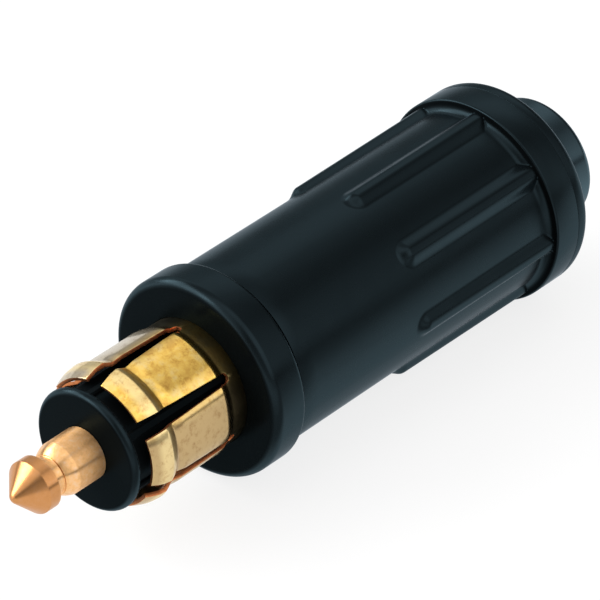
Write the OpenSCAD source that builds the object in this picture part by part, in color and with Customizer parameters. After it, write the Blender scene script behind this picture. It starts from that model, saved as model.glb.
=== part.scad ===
// Rewireable power plug with a spring contact nose.
// Millimetres. The plug lies on its collar with its tip towards -X, as it would on a table.
// Each piece is drawn about the Z axis, tip up, from the rear of the grommet at Z = 0, and lay() sets
// it down. Along that axis the pieces stack, so each seat is the end of the piece before it.

/* [Grip sleeve] */

// Radius of the grip tube between its ribs
tube_r = 8.8; // [8.4:0.05:9.8]
// Wall of the grip tube round the wiring chamber
tube_wall = 1.5; // [1.2:0.05:1.7]
// Length of the plain tube in front of the ribs
plain_len = 14.6; // [12:0.1:20]
// Length of the ribs from their noses to the collar
rib_len = 17.9; // [15:0.1:24]
// Number of ribs
rib_count = 8; // [4:1:12]
// Direction of the first rib about the axis, in degrees
rib_phase = 41.8; // [-180:0.1:180]
// Height of the ribs over the tube at their noses
rib_h = 0.6; // [0.3:0.05:0.9]
// Slope of the ribs' crest, which rises towards the collar, in degrees
rib_draft = 0.5; // [0:0.1:0.9]
// Width of the flat crest of a rib
rib_crest = 1.7; // [1:0.1:2.4]
// Width of each soft flank of a rib
rib_flank = 0.7; // [0.3:0.05:0.9]
// Height of the rear collar over the tube
collar_step = 1.15; // [0.95:0.05:1.6]
// Length of the collar
collar_len = 2.93; // [2:0.01:5]
// Fillet where the tube meets the collar
collar_fillet = 0.45; // [0.2:0.05:0.6]
// Rounding of the collar's front edge
collar_edge = 0.25; // [0.1:0.05:0.3]
// Thickness of the inner lip that the grommet seats on
lip_t = 1.2; // [0.8:0.1:2]
// Width of that lip, inwards from the chamber wall
lip_w = 1.3; // [0.8:0.1:1.6]

/* [End cap] */

// Length of the end cap's outer band
cap_band = 1.67; // [1.4:0.01:3]
// Rounding of the band's rear edge
cap_round = 1.1; // [0.4:0.1:1.3]
// Length of the threaded spigot inside the collar
cap_spigot = 2.53; // [1.5:0.01:4]
// Wall of the spigot round the grommet's snout
spigot_wall = 1.25; // [0.9:0.05:1.8]

/* [Cable grommet] */

// Length of the grommet that stands out behind the cap
grommet_out = 5.2; // [3:0.1:9]
// Rounding of the snout's rear rim
grommet_round = 1.2; // [0.4:0.1:1.6]
// Thickness of the flange that the cap squeezes
grommet_flange = 2.5; // [1.5:0.1:4]
// Length of the sealing nose inside the lip
grommet_nose = 2; // [1.4:0.1:3]
// Radius of the cord that the plug takes
cord_r = 2.9; // [2.3:0.05:3.1]
// Thickness of the thrust washer between the cap and the grommet
washer_t = 0.5; // [0.3:0.05:1]

/* [Front housing] */

// Height of the flange over the tube
flange_step = 0.68; // [0.3:0.02:1.2]
// Length of the flange
flange_len = 3.7; // [2.5:0.1:6]
// Rounding of the flange's front edge
flange_round = 0.9; // [0.3:0.1:1.2]
// Rounding of the flange's rear edge
flange_rear = 0.45; // [0.2:0.05:0.6]
// Length of the threaded neck inside the tube
neck_len = 8.7; // [8:0.1:12]
// Wall of the neck round its rear recess
neck_wall = 1; // [0.8:0.05:1.3]
// Thickness of the web that the pin's shank passes through
web_t = 2.5; // [1.5:0.1:4]
// Thickness of the seal between the flange and the tube
seal_t = 0.4; // [0.3:0.05:1]
// Depth of the seal's rim under the tube's surface
seal_inset = 0.3; // [0.1:0.05:0.5]

/* [Contact sleeve] */

// Outer radius of the sleeve's band
band_r = 6; // [5.7:0.02:6.3]
// Thickness of the sheet
sheet = 0.38; // [0.25:0.01:0.45]
// Depth of the band inside the housing
sleeve_in = 5; // [4:0.1:6]
// Length of the sleeve in front of the flange
sleeve_out = 11.45; // [10:0.05:15]
// Number of fingers
finger_count = 6; // [3:1:8]
// Direction of the first slot about the axis, in degrees
slot_phase = 35.8; // [-180:0.1:180]
// Width of a slot at its round end
slot_w = 0.9; // [0.6:0.05:1.2]
// Width of a slot at the finger tips
slot_tip_w = 1.6; // [1.2:0.05:2]
// Distance of the slots' round ends from the flange
slot_start = 1.1; // [0.6:0.1:2]
// Distance of the fingers' root bend from the flange
bend_at = 2.5; // [2.1:0.1:4]
// Rise of the fingers over the band, up to the bulge
finger_rise = 0.15; // [0.05:0.01:0.3]
// Length of the bulge from the foot of its rise to the finger tips
bulge_len = 3.2; // [2.8:0.05:4.2]
// Length of the bulge from its crest to the finger tips
crest_len = 1.75; // [1.4:0.05:2.2]
// Rise of the bulge's crest over the band
crest_rise = 0.58; // [0.35:0.01:0.7]
// Rise of the finger tips over the band
tip_rise = 0; // [-0.1:0.01:0.2]
// Width of the lip that the band turns in at its rear
band_lip = 1.42; // [0.8:0.02:1.6]

/* [Nose insulator] */

// Distance of the disc's edge inside the band's radius
disc_inset = 0.28; // [0:0.02:0.5]
// Thickness of the front disc
disc_t = 0.85; // [0.8:0.05:2]
// Rounding of the disc's front edge
disc_round = 0.55; // [0.1:0.05:0.65]
// Distance from the finger tips to the disc
disc_gap = 1.1; // [0.2:0.05:1.5]
// Distance from the fingers to the core, which lets them spring in
finger_gap = 0.67; // [0.4:0.01:1]
// Width of the keys in the finger slots
key_w = 0.8; // [0.5:0.05:1]
// Height of the keys over the core
key_h = 0.35; // [0.1:0.05:0.6]

/* [Centre pin] */

// Radius of the pin between the disc and the shoulder
pin_r = 2.44; // [2.1:0.02:2.8]
// Length of that plain part
pin_plain = 3; // [2:0.05:6]
// Length of the rounded shoulder
shoulder_len = 1.15; // [0.4:0.05:1.2]
// Depth of the shoulder's foot under the plain part
shoulder_drop = 0.54; // [0.2:0.02:0.6]
// Depth of the groove under the shoulder's foot
groove_drop = 0.15; // [0.05:0.01:0.3]
// Length of the groove
groove_len = 1.15; // [0.7:0.05:2]
// Length of the head between the groove and the cone
head_len = 1.2; // [0.6:0.05:2.5]
// Half angle of the cone, in degrees
cone_half = 45; // [35:1:60]
// Radius of the rounded tip
tip_round = 0.72; // [0.2:0.02:1]
// Radius of the threaded shank
shank_r = 1.5; // [1.25:0.05:1.7]
// Length of the shank behind the nut
shank_end = 0.7; // [0.4:0.1:1.2]

/* [Wiring parts] */

// Thickness of the brass links
link_t = 0.5; // [0.3:0.05:0.7]
// Width of the brass links
link_w = 3.4; // [2.8:0.1:3.6]
// Distance of the terminals from the middle plane
terminal_x = 2.7; // [2.5:0.05:2.9]
// Width of a terminal block
block_w = 3.6; // [3.2:0.1:3.8]
// Height of a terminal block
block_h = 4.6; // [4.2:0.1:5]
// Length of a terminal block
block_len = 6.5; // [5:0.1:7.5]
// Radius of the wire hole in a block
wire_r = 1.2; // [0.9:0.05:1.4]
// Radius of the terminal screws' thread
screw_r = 1; // [0.8:0.05:1.2]
// Radius of the terminal screws' head
screw_head_r = 1.7; // [1.4:0.05:1.8]
// Height of the terminal screws' head
screw_head_h = 1.2; // [0.8:0.1:1.6]
// Opening left under the terminal screws' heads
screw_lift = 0.7; // [0.2:0.1:1]
// Width across the flats of the hexagon nut
nut_af = 5.5; // [5:0.1:5.7]
// Thickness of the nut
nut_t = 2.4; // [1.6:0.1:3]
// Radius of the spring washer
spring_r = 2.7; // [2.4:0.05:2.9]
// Thickness of the spring washer
spring_t = 0.6; // [0.4:0.05:1]
// Thickness of the carrier's disc
carrier_t = 2; // [1.4:0.1:3]
// Width of the lugs that key the carrier in the housing's neck
lug_w = 1.4; // [1:0.1:2]
// Height of those lugs over the carrier's disc
lug_h = 0.45; // [0.2:0.05:0.6]
// Thickness of the carrier's tongue
tongue_t = 1.8; // [1.5:0.1:2.1]
// Depth of the tongue's face below the axis
tongue_drop = 3.9; // [3.7:0.05:4.1]
// Thickness of the barrier between the terminals
barrier_t = 0.8; // [0.5:0.05:1]
// Height of the barrier over the tongue
barrier_h = 3.4; // [2:0.1:4.5]
// Length of the cord clamp along the cord
clamp_len = 4; // [3:0.1:5]
// Distance from the grommet's nose to the cord clamp
clamp_gap = 0.7; // [0.3:0.1:2]
// Thickness of the saddle's ears
ear_t = 1.2; // [0.9:0.1:1.6]
// Wall of the saddle over the cord
arch_t = 1.3; // [0.9:0.1:1.6]
// Gap between the two halves of the open clamp
clamp_open = 0.6; // [0.2:0.1:1]
// Depth of the clamp screws in the carrier
clamp_screw_in = 3.4; // [2.6:0.1:3.5]
// Radius of the clamp screws' thread
clamp_screw_r = 0.8; // [0.6:0.05:0.9]
// Radius of the clamp screws' head
clamp_head_r = 1.5; // [1.2:0.05:1.6]
// Height of the clamp screws' head
clamp_head_h = 1.1; // [0.8:0.1:1.3]

/* [Fits] */

// Radial clearance of threads that are drawn plain
thread_fit = 0.05; // [0.02:0.01:0.1]
// Radial clearance of pieces that slip together
slip_fit = 0.1; // [0.05:0.01:0.15]
// Radial clearance of screws in their tapped holes
tap_fit = 0.02; // [0.01:0.01:0.04]
// Distance of the carrier and the screws from the chamber wall
chamber_fit = 0.4; // [0.2:0.05:0.5]

/* [Hidden] */

$fn = 72;

// Small break of a moulded edge, and the chamfer of a thread's end
edge = 0.15;
thread_chamfer = 0.4;
// Depth of the ribs' feet under the tube's surface at their noses
rib_sink = 0.06;
// Depth of a moulding's cut past its wall, so that cuts leave no skin
past = 1;

// Heights of the seats along the axis, from the rear to the tip
z_cap = grommet_out;
z_seam = z_cap + cap_band;
z_collar = z_seam + collar_len;
z_ribs = z_collar + rib_len;
z_tube = z_ribs + plain_len;
z_flange = z_tube + seal_t;
z_face = z_flange + flange_len;
z_tip = z_face + sleeve_out;
z_disc = z_tip + disc_gap;
z_pin = z_disc + disc_t;
z_groove = z_pin + pin_plain + shoulder_len;
z_head = z_groove + groove_len;
z_cone = z_head + head_len;
z_apex = z_cone + (pin_r - tip_round * cos(cone_half)) / tan(cone_half);
total_len = z_apex + tip_round * (1 - sin(cone_half));

// Seats inside the rear
z_washer = z_seam + cap_spigot;
z_squeeze = z_washer + washer_t;
z_lip = z_squeeze + grommet_flange;
z_chamber = z_lip + lip_t;
z_clamp = z_lip + grommet_nose + clamp_gap;
z_clamp_end = z_clamp + clamp_len;

// Seats inside the front
z_band = z_face - sleeve_in;
z_socket = z_band - link_t;
z_web = z_socket - web_t;
z_carrier = z_web - carrier_t;
z_link = z_carrier - link_t;
z_spring = z_link - spring_t;
z_nut = z_spring - nut_t;
z_shank = z_nut - shank_end;
z_neck = z_flange - neck_len;
z_block = z_shank - block_len - 0.7;

// Radii that follow from the grip sleeve
chamber_r = tube_r - tube_wall;
bore_r = chamber_r + 0.2;
thread_r = bore_r - thread_fit;
collar_r = tube_r + collar_step;
flange_r = tube_r + flange_step;
lip_r = chamber_r - lip_w;
grommet_r = thread_r - spigot_wall - slip_fit;
recess_r = thread_r - neck_wall;
disc_in_r = recess_r - slip_fit;
tongue_r = chamber_r - chamber_fit;

// Radii that follow from the contact sleeve
band_in_r = band_r - sheet;
socket_r = band_r + slip_fit;
lip_in_r = band_in_r - band_lip;
core_r = band_in_r - finger_gap;
disc_r = band_r - disc_inset;

// Levels across the axis
y_tongue = -tongue_drop;
y_under = y_tongue - tongue_t;
y_strip = y_tongue + link_t;
y_block = y_strip + block_h;
y_wire = y_strip + 0.9 + wire_r;
y_ear = clamp_open / 2;
y_head = y_ear + ear_t;
clamp_x = tongue_r - clamp_head_r - 0.55;
cord_hole_r = cord_r + slip_fit;
rivet_r = wire_r * 0.75;
rivet_head_r = rivet_r + 0.6;
rivet_seat = y_tongue - tongue_t / 2;

black = [0.10, 0.11, 0.12];
rubber = [0.07, 0.07, 0.08];
brass = [0.86, 0.71, 0.37];
copper = [0.85, 0.57, 0.40];
steel = [0.72, 0.73, 0.74];
ivory = [0.80, 0.77, 0.70];
zinc = [0.62, 0.64, 0.66];

// Points of an arc about [cx, cy] from angle a to angle b
function arc(cx, cy, r, a, b, n = 6) =
    [for (i = [0 : n]) [cx + r * cos(a + (b - a) * i / n), cy + r * sin(a + (b - a) * i / n)]];

// Smooth step from 0 to 1
function ease(t) = (1 - cos(180 * t)) / 2;

// Outer line of the contact sleeve from the root bend to the tip
function finger_line() = let (z_foot = z_tip - bulge_len, z_crest = z_tip - crest_len)
    concat([[band_r, z_face + bend_at - 0.3]],
           [for (i = [1 : 4]) [band_r + finger_rise * ease(i / 4), z_face + bend_at - 0.3 + i * 0.25]],
           [for (i = [0 : 8]) [band_r + finger_rise + (crest_rise - finger_rise) * ease(i / 8),
                               z_foot + (z_crest - z_foot) * i / 8]],
           [for (i = [1 : 6]) [band_r + crest_rise - (crest_rise - tip_rise) * pow(i / 6, 1.8),
                               z_crest + crest_len * i / 6]]);

// Half of a rib's section: X across the rib, Y outwards from the tube's surface
function rib_half() = let (half = rib_crest / 2 + rib_flank,
                           foot = sqrt(tube_r * tube_r - half * half) - tube_r - rib_sink)
    concat([[0, -0.5], [half, -0.5]],
           [for (i = [0 : 6]) [half - rib_flank * i / 6, foot + (rib_h - foot) * ease(i / 6)]],
           [[0, rib_h]]);

// Lays the standing plug down: its tip towards -X, its +Y side up, its collar on the table
module lay() {
    translate([total_len / 2, 0, collar_r])
        rotate([90, 0, 0])
            rotate([0, -90, 0])
                children();
}

module ring(r_out, r_in, z0, z1) {
    translate([0, 0, z0])
        difference() {
            cylinder(h = z1 - z0, r = r_out);
            translate([0, 0, -past])
                cylinder(h = z1 - z0 + 2 * past, r = r_in);
        }
}

// Disc along Y, for what stands across the carrier
module peg(x, z, r, y0, y1) {
    translate([x, y0, z])
        rotate([-90, 0, 0])
            cylinder(h = y1 - y0, r = r);
}

// Part of a round bar between two levels of Y, with its axis on the plug's axis
module segment(r, y0, y1, z0, z1) {
    intersection() {
        translate([0, 0, z0])
            cylinder(h = z1 - z0, r = r);
        translate([-r - past, y0, z0 - past])
            cube([2 * r + 2 * past, y1 - y0, z1 - z0 + 2 * past]);
    }
}

module centre_pin() {
    neck = pin_r - shoulder_drop;
    root = neck - groove_drop;
    color(copper) lay()
        rotate_extrude()
            polygon(concat(
                [[0, z_shank], [shank_r - 0.3, z_shank], [shank_r, z_shank + 0.3], [shank_r, z_pin],
                 [pin_r, z_pin], [pin_r, z_pin + pin_plain]],
                [for (i = [1 : 6]) [neck + shoulder_drop * cos(15 * i),
                                    z_pin + pin_plain + shoulder_len * sin(15 * i)]],
                arc(root + 0.12, z_groove + 0.12, 0.12, 240, 180, 3),
                arc(root + 0.12, z_head - 0.12, 0.12, 180, 90, 3),
                [[pin_r - 0.1, z_head], [pin_r, z_head + 0.1], [pin_r, z_cone - 0.06],
                 [pin_r - 0.04, z_cone + 0.04]],
                arc(0, z_apex - tip_round * sin(cone_half), tip_round, 90 - cone_half, 90, 5)));
}

module nose_insulator() {
    seat = z_band + sheet;
    shoulder = z_face + slot_start - 0.5;
    color(black) lay()
        union() {
            rotate_extrude()
                polygon(concat(
                    [[shank_r + thread_fit, z_band + 0.05], [lip_in_r - slip_fit, z_band + 0.05],
                     [lip_in_r - slip_fit, seat], [band_in_r - slip_fit, seat],
                     [band_in_r - slip_fit, shoulder], [core_r, shoulder + 0.4],
                     [core_r, z_disc], [disc_r - edge, z_disc], [disc_r, z_disc + edge]],
                    arc(disc_r - disc_round, z_pin - disc_round, disc_round, 0, 90),
                    [[shank_r + thread_fit, z_pin]]));
            for (i = [0 : finger_count - 1])
                rotate([0, 0, slot_phase + i * 360 / finger_count])
                    translate([0, 0, shoulder])
                        linear_extrude(z_disc - shoulder + edge)
                            polygon([[core_r - 0.5, -key_w / 2], [core_r + key_h - edge, -key_w / 2],
                                     [core_r + key_h, edge - key_w / 2], [core_r + key_h, key_w / 2 - edge],
                                     [core_r + key_h - edge, key_w / 2], [core_r - 0.5, key_w / 2]]);
        }
}

// Sheet sleeve: the band turns in to a lip at the rear, and slots part the fingers
module contact_sleeve() {
    line = finger_line();
    last = len(line) - 1;
    z_round = z_face + slot_start + slot_w / 2;
    color(brass) lay()
        difference() {
            rotate_extrude()
                polygon(concat(
                    [[lip_in_r, z_band]],
                    arc(band_r - sheet, z_band + sheet, sheet, 270, 360, 4),
                    line,
                    [for (i = [0 : last]) line[last - i] - [sheet, 0]],
                    [[band_in_r, z_band + sheet], [lip_in_r, z_band + sheet]]));
            for (i = [0 : finger_count - 1])
                rotate([0, 0, slot_phase + i * 360 / finger_count])
                    translate([core_r, 0, 0])
                        rotate([90, 0, 90])
                            linear_extrude(band_r + crest_rise - core_r + past)
                                union() {
                                    translate([0, z_round])
                                        circle(slot_w / 2);
                                    polygon([[-slot_w / 2, z_round], [slot_w / 2, z_round],
                                             [slot_tip_w / 2, z_tip], [slot_tip_w / 2, z_tip + past],
                                             [-slot_tip_w / 2, z_tip + past], [-slot_tip_w / 2, z_tip]]);
                                }
        }
}

// Where the earth link's tab runs back through the housing and the carrier
module tab_way(grow, z0, z1) {
    translate([terminal_x - link_w / 2 - grow, y_tongue - grow, z0])
        cube([link_w + 2 * grow, link_t + 2 * grow, z1 - z0]);
}

module front_housing() {
    color(black) lay()
        difference() {
            rotate_extrude()
                polygon(concat(
                    [[recess_r, z_neck], [thread_r - thread_chamfer, z_neck],
                     [thread_r, z_neck + thread_chamfer], [thread_r, z_flange - 1],
                     [thread_r - thread_chamfer, z_flange - 1 + thread_chamfer],
                     [thread_r - thread_chamfer, z_flange]],
                    arc(flange_r - flange_rear, z_flange + flange_rear, flange_rear, 270, 360),
                    arc(flange_r - flange_round, z_face - flange_round, flange_round, 0, 90, 8),
                    [[socket_r + edge, z_face], [socket_r, z_face - edge], [socket_r, z_socket],
                     [shank_r + slip_fit, z_socket], [shank_r + slip_fit, z_web],
                     [recess_r, z_web]]));
            tab_way(slip_fit, z_neck - past, z_socket + past / 2);
            for (side = [0, 180])
                rotate([0, 0, side])
                    translate([recess_r - past, -lug_w / 2 - slip_fit, z_neck - past])
                        cube([past + lug_h + slip_fit, lug_w + 2 * slip_fit, z_web - z_neck + past]);
        }
}

module housing_seal() {
    color(rubber) lay()
        ring(tube_r - seal_inset, bore_r, z_tube, z_flange);
}

module grip_rib() {
    half = rib_crest / 2 + rib_flank;
    outline = rib_half();
    z_nose = z_ribs - half;
    translate([tube_r, 0, z_nose])
        rotate([0, -rib_draft, 0])
            union() {
                rotate(a = 180, v = [1, 1, 0])
                    linear_extrude(z_nose - z_collar + collar_len / 2)
                        polygon(concat(outline, [for (i = [1 : len(outline) - 2])
                            [-outline[len(outline) - 1 - i][0], outline[len(outline) - 1 - i][1]]]));
                rotate([0, 90, 0])
                    rotate_extrude()
                        polygon(outline);
            }
}

module grip_sleeve() {
    color(black) lay()
        union() {
            rotate_extrude()
                polygon(concat(
                    [[bore_r, z_seam], [collar_r - edge, z_seam], [collar_r, z_seam + edge]],
                    arc(collar_r - collar_edge, z_collar - collar_edge, collar_edge, 0, 90, 4),
                    arc(tube_r + collar_fillet, z_collar + collar_fillet, collar_fillet, 270, 180, 5),
                    [[tube_r, z_tube - edge], [tube_r - edge, z_tube], [bore_r, z_tube],
                     [bore_r, z_neck - 0.2], [chamber_r, z_neck - 0.4],
                     [chamber_r, z_chamber], [lip_r, z_chamber], [lip_r, z_lip], [bore_r, z_lip]]));
            for (i = [0 : rib_count - 1])
                rotate([0, 0, rib_phase + i * 360 / rib_count])
                    grip_rib();
        }
}

module end_cap() {
    hole_r = grommet_r + slip_fit;
    color(black) lay()
        rotate_extrude()
            polygon(concat(
                [[hole_r, z_cap + edge], [hole_r + edge, z_cap]],
                arc(collar_r - cap_round, z_cap + cap_round, cap_round, 270, 360, 8),
                [[collar_r, z_seam - edge], [collar_r - edge, z_seam],
                 [thread_r, z_seam], [thread_r, z_washer - thread_chamfer],
                 [thread_r - thread_chamfer, z_washer], [hole_r, z_washer]]));
}

module cable_grommet() {
    color(rubber) lay()
        rotate_extrude()
            polygon(concat(
                [[cord_hole_r, 0.3], [cord_hole_r + 0.3, 0]],
                arc(grommet_r - grommet_round, grommet_round, grommet_round, 270, 360, 8),
                [[grommet_r, z_squeeze], [bore_r - slip_fit, z_squeeze], [bore_r - slip_fit, z_lip],
                 [lip_r - slip_fit, z_lip], [lip_r - slip_fit, z_lip + 0.8],
                 [lip_r - 0.9, z_lip + grommet_nose], [cord_hole_r, z_lip + grommet_nose]]));
}

module thrust_washer() {
    color(zinc) lay()
        ring(bore_r - slip_fit, grommet_r + slip_fit, z_washer, z_squeeze);
}

// Moulded disc with a rearward tongue that carries the terminals and the lower half of the clamp
module terminal_carrier() {
    z_step = z_neck - slip_fit;
    color(ivory) lay()
        difference() {
            union() {
                translate([0, 0, z_carrier])
                    cylinder(h = carrier_t, r = disc_in_r);
                for (side = [0, 180])
                    rotate([0, 0, side])
                        translate([disc_in_r - past, -lug_w / 2, z_carrier])
                            cube([past + lug_h, lug_w, carrier_t]);
                segment(disc_in_r, y_under, y_tongue, z_step - past, z_carrier + past / 2);
                segment(tongue_r, y_under, y_tongue, z_clamp, z_step);
                segment(tongue_r, y_under, -y_ear, z_clamp, z_clamp_end);
                translate([-barrier_t / 2, y_tongue - past / 2, z_block - 0.5])
                    cube([barrier_t, barrier_h + past / 2, z_shank - z_block + 0.3]);
            }
            translate([0, 0, z_carrier - past])
                cylinder(h = carrier_t + 2 * past, r = shank_r + slip_fit);
            tab_way(slip_fit, z_carrier, z_web + past);
            for (side = [-1, 1]) {
                peg(side * terminal_x, z_block + block_len / 2, rivet_r + tap_fit, y_under - past, 0);
                peg(side * terminal_x, z_block + block_len / 2, rivet_head_r + slip_fit,
                    y_under - past, rivet_seat);
                peg(side * clamp_x, (z_clamp + z_clamp_end) / 2, clamp_screw_r + tap_fit,
                    -y_ear - clamp_screw_in - 2 * slip_fit, past);
            }
            translate([0, 0, z_clamp - past])
                cylinder(h = clamp_len + 2 * past, r = cord_r - 0.3);
            for (i = [0 : 2])
                translate([0, 0, z_clamp - 0.5 + i * (clamp_len + 1) / 3 + 0.25])
                    cylinder(h = (clamp_len + 1) / 3 - 0.5, r = cord_r);
        }
}

module pin_link() {
    color(brass) lay()
        difference() {
            union() {
                translate([0, 0, z_link])
                    cylinder(h = link_t, r = spring_r);
                translate([-terminal_x - link_w / 2, y_tongue, z_link])
                    cube([link_w, spring_r, link_t]);
                translate([-terminal_x - link_w / 2, y_tongue, z_block])
                    cube([link_w, link_t, z_carrier - z_block]);
            }
            translate([0, 0, z_link - past])
                cylinder(h = link_t + 2 * past, r = shank_r + slip_fit);
            peg(-terminal_x, z_block + block_len / 2, rivet_r + tap_fit, y_tongue - past, y_strip + past);
        }
}

module spring_washer() {
    color(steel) lay()
        difference() {
            ring(spring_r, shank_r + slip_fit, z_spring, z_link);
            rotate([0, 0, 60])
                translate([0, -0.2, z_spring - past])
                    cube([spring_r + past, 0.4, spring_t + 2 * past]);
        }
}

module pin_nut() {
    color(brass) lay()
        translate([0, 0, z_nut])
            difference() {
                intersection() {
                    rotate([0, 0, 30])
                        cylinder(h = nut_t, r = nut_af / 2 / cos(30), $fn = 6);
                    rotate_extrude()
                        polygon([[0, 0], [nut_af / 2, 0], [nut_af / 2 / cos(30), 0.25],
                                 [nut_af / 2 / cos(30), nut_t], [0, nut_t]]);
                }
                translate([0, 0, -past])
                    cylinder(h = nut_t + 2 * past, r = shank_r + tap_fit);
            }
}

module earth_link() {
    color(brass) lay()
        difference() {
            union() {
                intersection() {
                    translate([0, 0, z_socket])
                        cylinder(h = link_t, r = socket_r - slip_fit);
                    union() {
                        ring(socket_r, lip_in_r, z_socket, z_band);
                        translate([terminal_x - link_w / 2, -socket_r, z_socket])
                            cube([link_w, socket_r + y_strip, link_t]);
                    }
                }
                tab_way(0, z_block, z_band);
            }
            peg(terminal_x, z_block + block_len / 2, rivet_r + tap_fit, y_tongue - past, y_strip + past);
        }
}

// Terminal block with its wire hole, its tapped hole and the rivet that holds it to the tongue
module terminal_block(x) {
    z_mid = z_block + block_len / 2;
    color(brass) lay()
        difference() {
            union() {
                translate([x - block_w / 2, y_strip, z_block])
                    cube([block_w, block_h, block_len]);
                peg(x, z_mid, rivet_r, rivet_seat, y_strip + 0.2);
                peg(x, z_mid, rivet_head_r, rivet_seat - 0.4, rivet_seat);
            }
            translate([x, y_wire, z_block - past])
                cylinder(h = block_len + 2 * past, r = wire_r);
            peg(x, z_mid, screw_r + tap_fit, y_wire, y_block + past);
        }
}

module pin_terminal() {
    terminal_block(-terminal_x);
}

module earth_terminal() {
    terminal_block(terminal_x);
}

// Slotted screw along Y, with its tip at y0 and the underside of its head at y1
module slotted_screw(x, z, r, head_r, head_h, y0, y1) {
    difference() {
        union() {
            peg(x, z, r, y0, y1);
            peg(x, z, head_r, y1, y1 + head_h);
        }
        translate([x - head_r - past, y1 + head_h - 0.5, z - 0.25])
            cube([2 * head_r + 2 * past, past, 0.5]);
    }
}

module terminal_screws() {
    color(steel) lay()
        for (side = [-1, 1])
            slotted_screw(side * terminal_x, z_block + block_len / 2, screw_r, screw_head_r, screw_head_h,
                          y_wire + wire_r, y_block + screw_lift);
}

module clamp_saddle() {
    color(ivory) lay()
        difference() {
            union() {
                segment(tongue_r - edge, y_ear, y_head, z_clamp, z_clamp_end);
                segment(cord_r + arch_t, y_ear, cord_r + arch_t, z_clamp, z_clamp_end);
            }
            translate([0, 0, z_clamp - past])
                cylinder(h = clamp_len + 2 * past, r = cord_r - 0.3);
            for (z = [z_clamp - past, z_clamp + clamp_len / 2 + 0.25])
                translate([0, 0, z])
                    cylinder(h = clamp_len / 2 - 0.25 + past, r = cord_r);
            for (side = [-1, 1]) {
                peg(side * clamp_x, z_clamp + clamp_len / 2, clamp_screw_r + slip_fit, 0, y_head + past);
                peg(side * clamp_x, z_clamp + clamp_len / 2, clamp_head_r + slip_fit,
                    y_head, y_head + 2 * cord_r);
            }
        }
}

module clamp_screws() {
    color(steel) lay()
        for (side = [-1, 1])
            slotted_screw(side * clamp_x, z_clamp + clamp_len / 2, clamp_screw_r, clamp_head_r,
                          clamp_head_h, -y_ear - clamp_screw_in, y_head);
}

centre_pin();
nose_insulator();
contact_sleeve();
front_housing();
housing_seal();
grip_sleeve();
end_cap();
cable_grommet();
thrust_washer();
terminal_carrier();
pin_link();
spring_washer();
pin_nut();
earth_link();
pin_terminal();
earth_terminal();
terminal_screws();
clamp_saddle();
clamp_screws();
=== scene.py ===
"""Looks of a rewireable round power plug that lies on its collar, its tip towards -X.

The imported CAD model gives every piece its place. This script shapes the pieces that show, gives every piece
its material and sets up the stage. It is laid out as an add-on and is run as a script.
"""

import math

import bpy
from bpy.props import FloatProperty, FloatVectorProperty, IntProperty, PointerProperty
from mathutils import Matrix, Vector


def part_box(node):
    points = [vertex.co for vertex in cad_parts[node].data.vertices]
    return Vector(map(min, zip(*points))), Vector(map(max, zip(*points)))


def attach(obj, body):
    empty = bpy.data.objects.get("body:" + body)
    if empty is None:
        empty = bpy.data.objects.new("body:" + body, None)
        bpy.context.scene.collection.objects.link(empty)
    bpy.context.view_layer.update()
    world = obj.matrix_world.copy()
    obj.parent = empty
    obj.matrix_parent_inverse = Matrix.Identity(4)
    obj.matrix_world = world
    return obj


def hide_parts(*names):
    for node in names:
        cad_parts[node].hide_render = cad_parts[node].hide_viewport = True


bl_info = {
    "name": "Power plug",
    "version": (1, 0, 0),
    "blender": (4, 5, 0),
    "location": "View3D > Sidebar > Plug",
    "description": "Shapes, finishes and stage of a rewireable round power plug",
    "category": "Object",
}

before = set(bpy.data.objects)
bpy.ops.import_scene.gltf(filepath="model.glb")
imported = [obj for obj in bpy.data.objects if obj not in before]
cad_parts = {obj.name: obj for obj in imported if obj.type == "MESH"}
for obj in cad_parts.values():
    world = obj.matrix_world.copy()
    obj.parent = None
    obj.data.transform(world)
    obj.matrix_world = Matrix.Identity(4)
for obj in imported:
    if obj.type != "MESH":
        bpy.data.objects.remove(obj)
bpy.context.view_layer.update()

MM = 0.001
TURN = 2 * math.pi
WELD = MM / 1000
# Radial clearances of pieces that are screwed together and of pieces that slip
SNUG = 0.05 * MM
LOOSE = 0.1 * MM
# Break of edges that look sharp
FINE_EDGE = 0.04 * MM
# Steps of a full turn
SPIN_STEPS = 160
# Angles in degrees up to which turned pieces and pressed or ribbed pieces are smoothed
TURNED_SMOOTH = 35
PRESSED_SMOOTH = 40
# The tent's levels are divided by this in their ramps, to stay under 1, and multiplied again behind them
BRIGHTEST = 3.0
# The point that the camera and the softbox look at
TARGET = Vector((-2.874, -3.687, 15.229)) * MM
# Share of shine of the black plastic, from where it faces the eye (0) to where it is seen edge on (1)
PLASTIC_SHINE = [(0.0, 0.024), (0.1, 0.024), (0.18, 0.014), (0.25, 0.014), (0.3, 0.019), (0.37, 0.036),
                 (0.45, 0.053), (0.6, 0.072), (0.74, 0.11), (0.88, 0.2), (1.0, 0.5)]
# The plug's axis runs along X at this height; lengths along it start at the grommet's rear
AXIS_Z = sum(corner.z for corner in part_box("centre_pin")) / 2
REAR_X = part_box("cable_grommet")[1].x


def along(node, end):
    """How far a node's rear end (0) or front end (1) is from the grommet's rear, in metres."""
    low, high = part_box(node)
    return REAR_X - (low.x if end else high.x)


def place(s, r, turn=math.pi / 2):
    """Point at a distance along the axis and from it. Turn 0 is towards -Y, and a quarter turn is up."""
    return Vector((REAR_X - s, -r * math.cos(turn), AXIS_Z + r * math.sin(turn)))


def ease(t):
    """Smooth step from 0 to 1."""
    return (1 - math.cos(math.pi * min(max(t, 0), 1))) / 2


def spread(start, stop, steps):
    """Evenly spaced values, both ends included."""
    return [start + (stop - start) * i / steps for i in range(steps + 1)]


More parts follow.
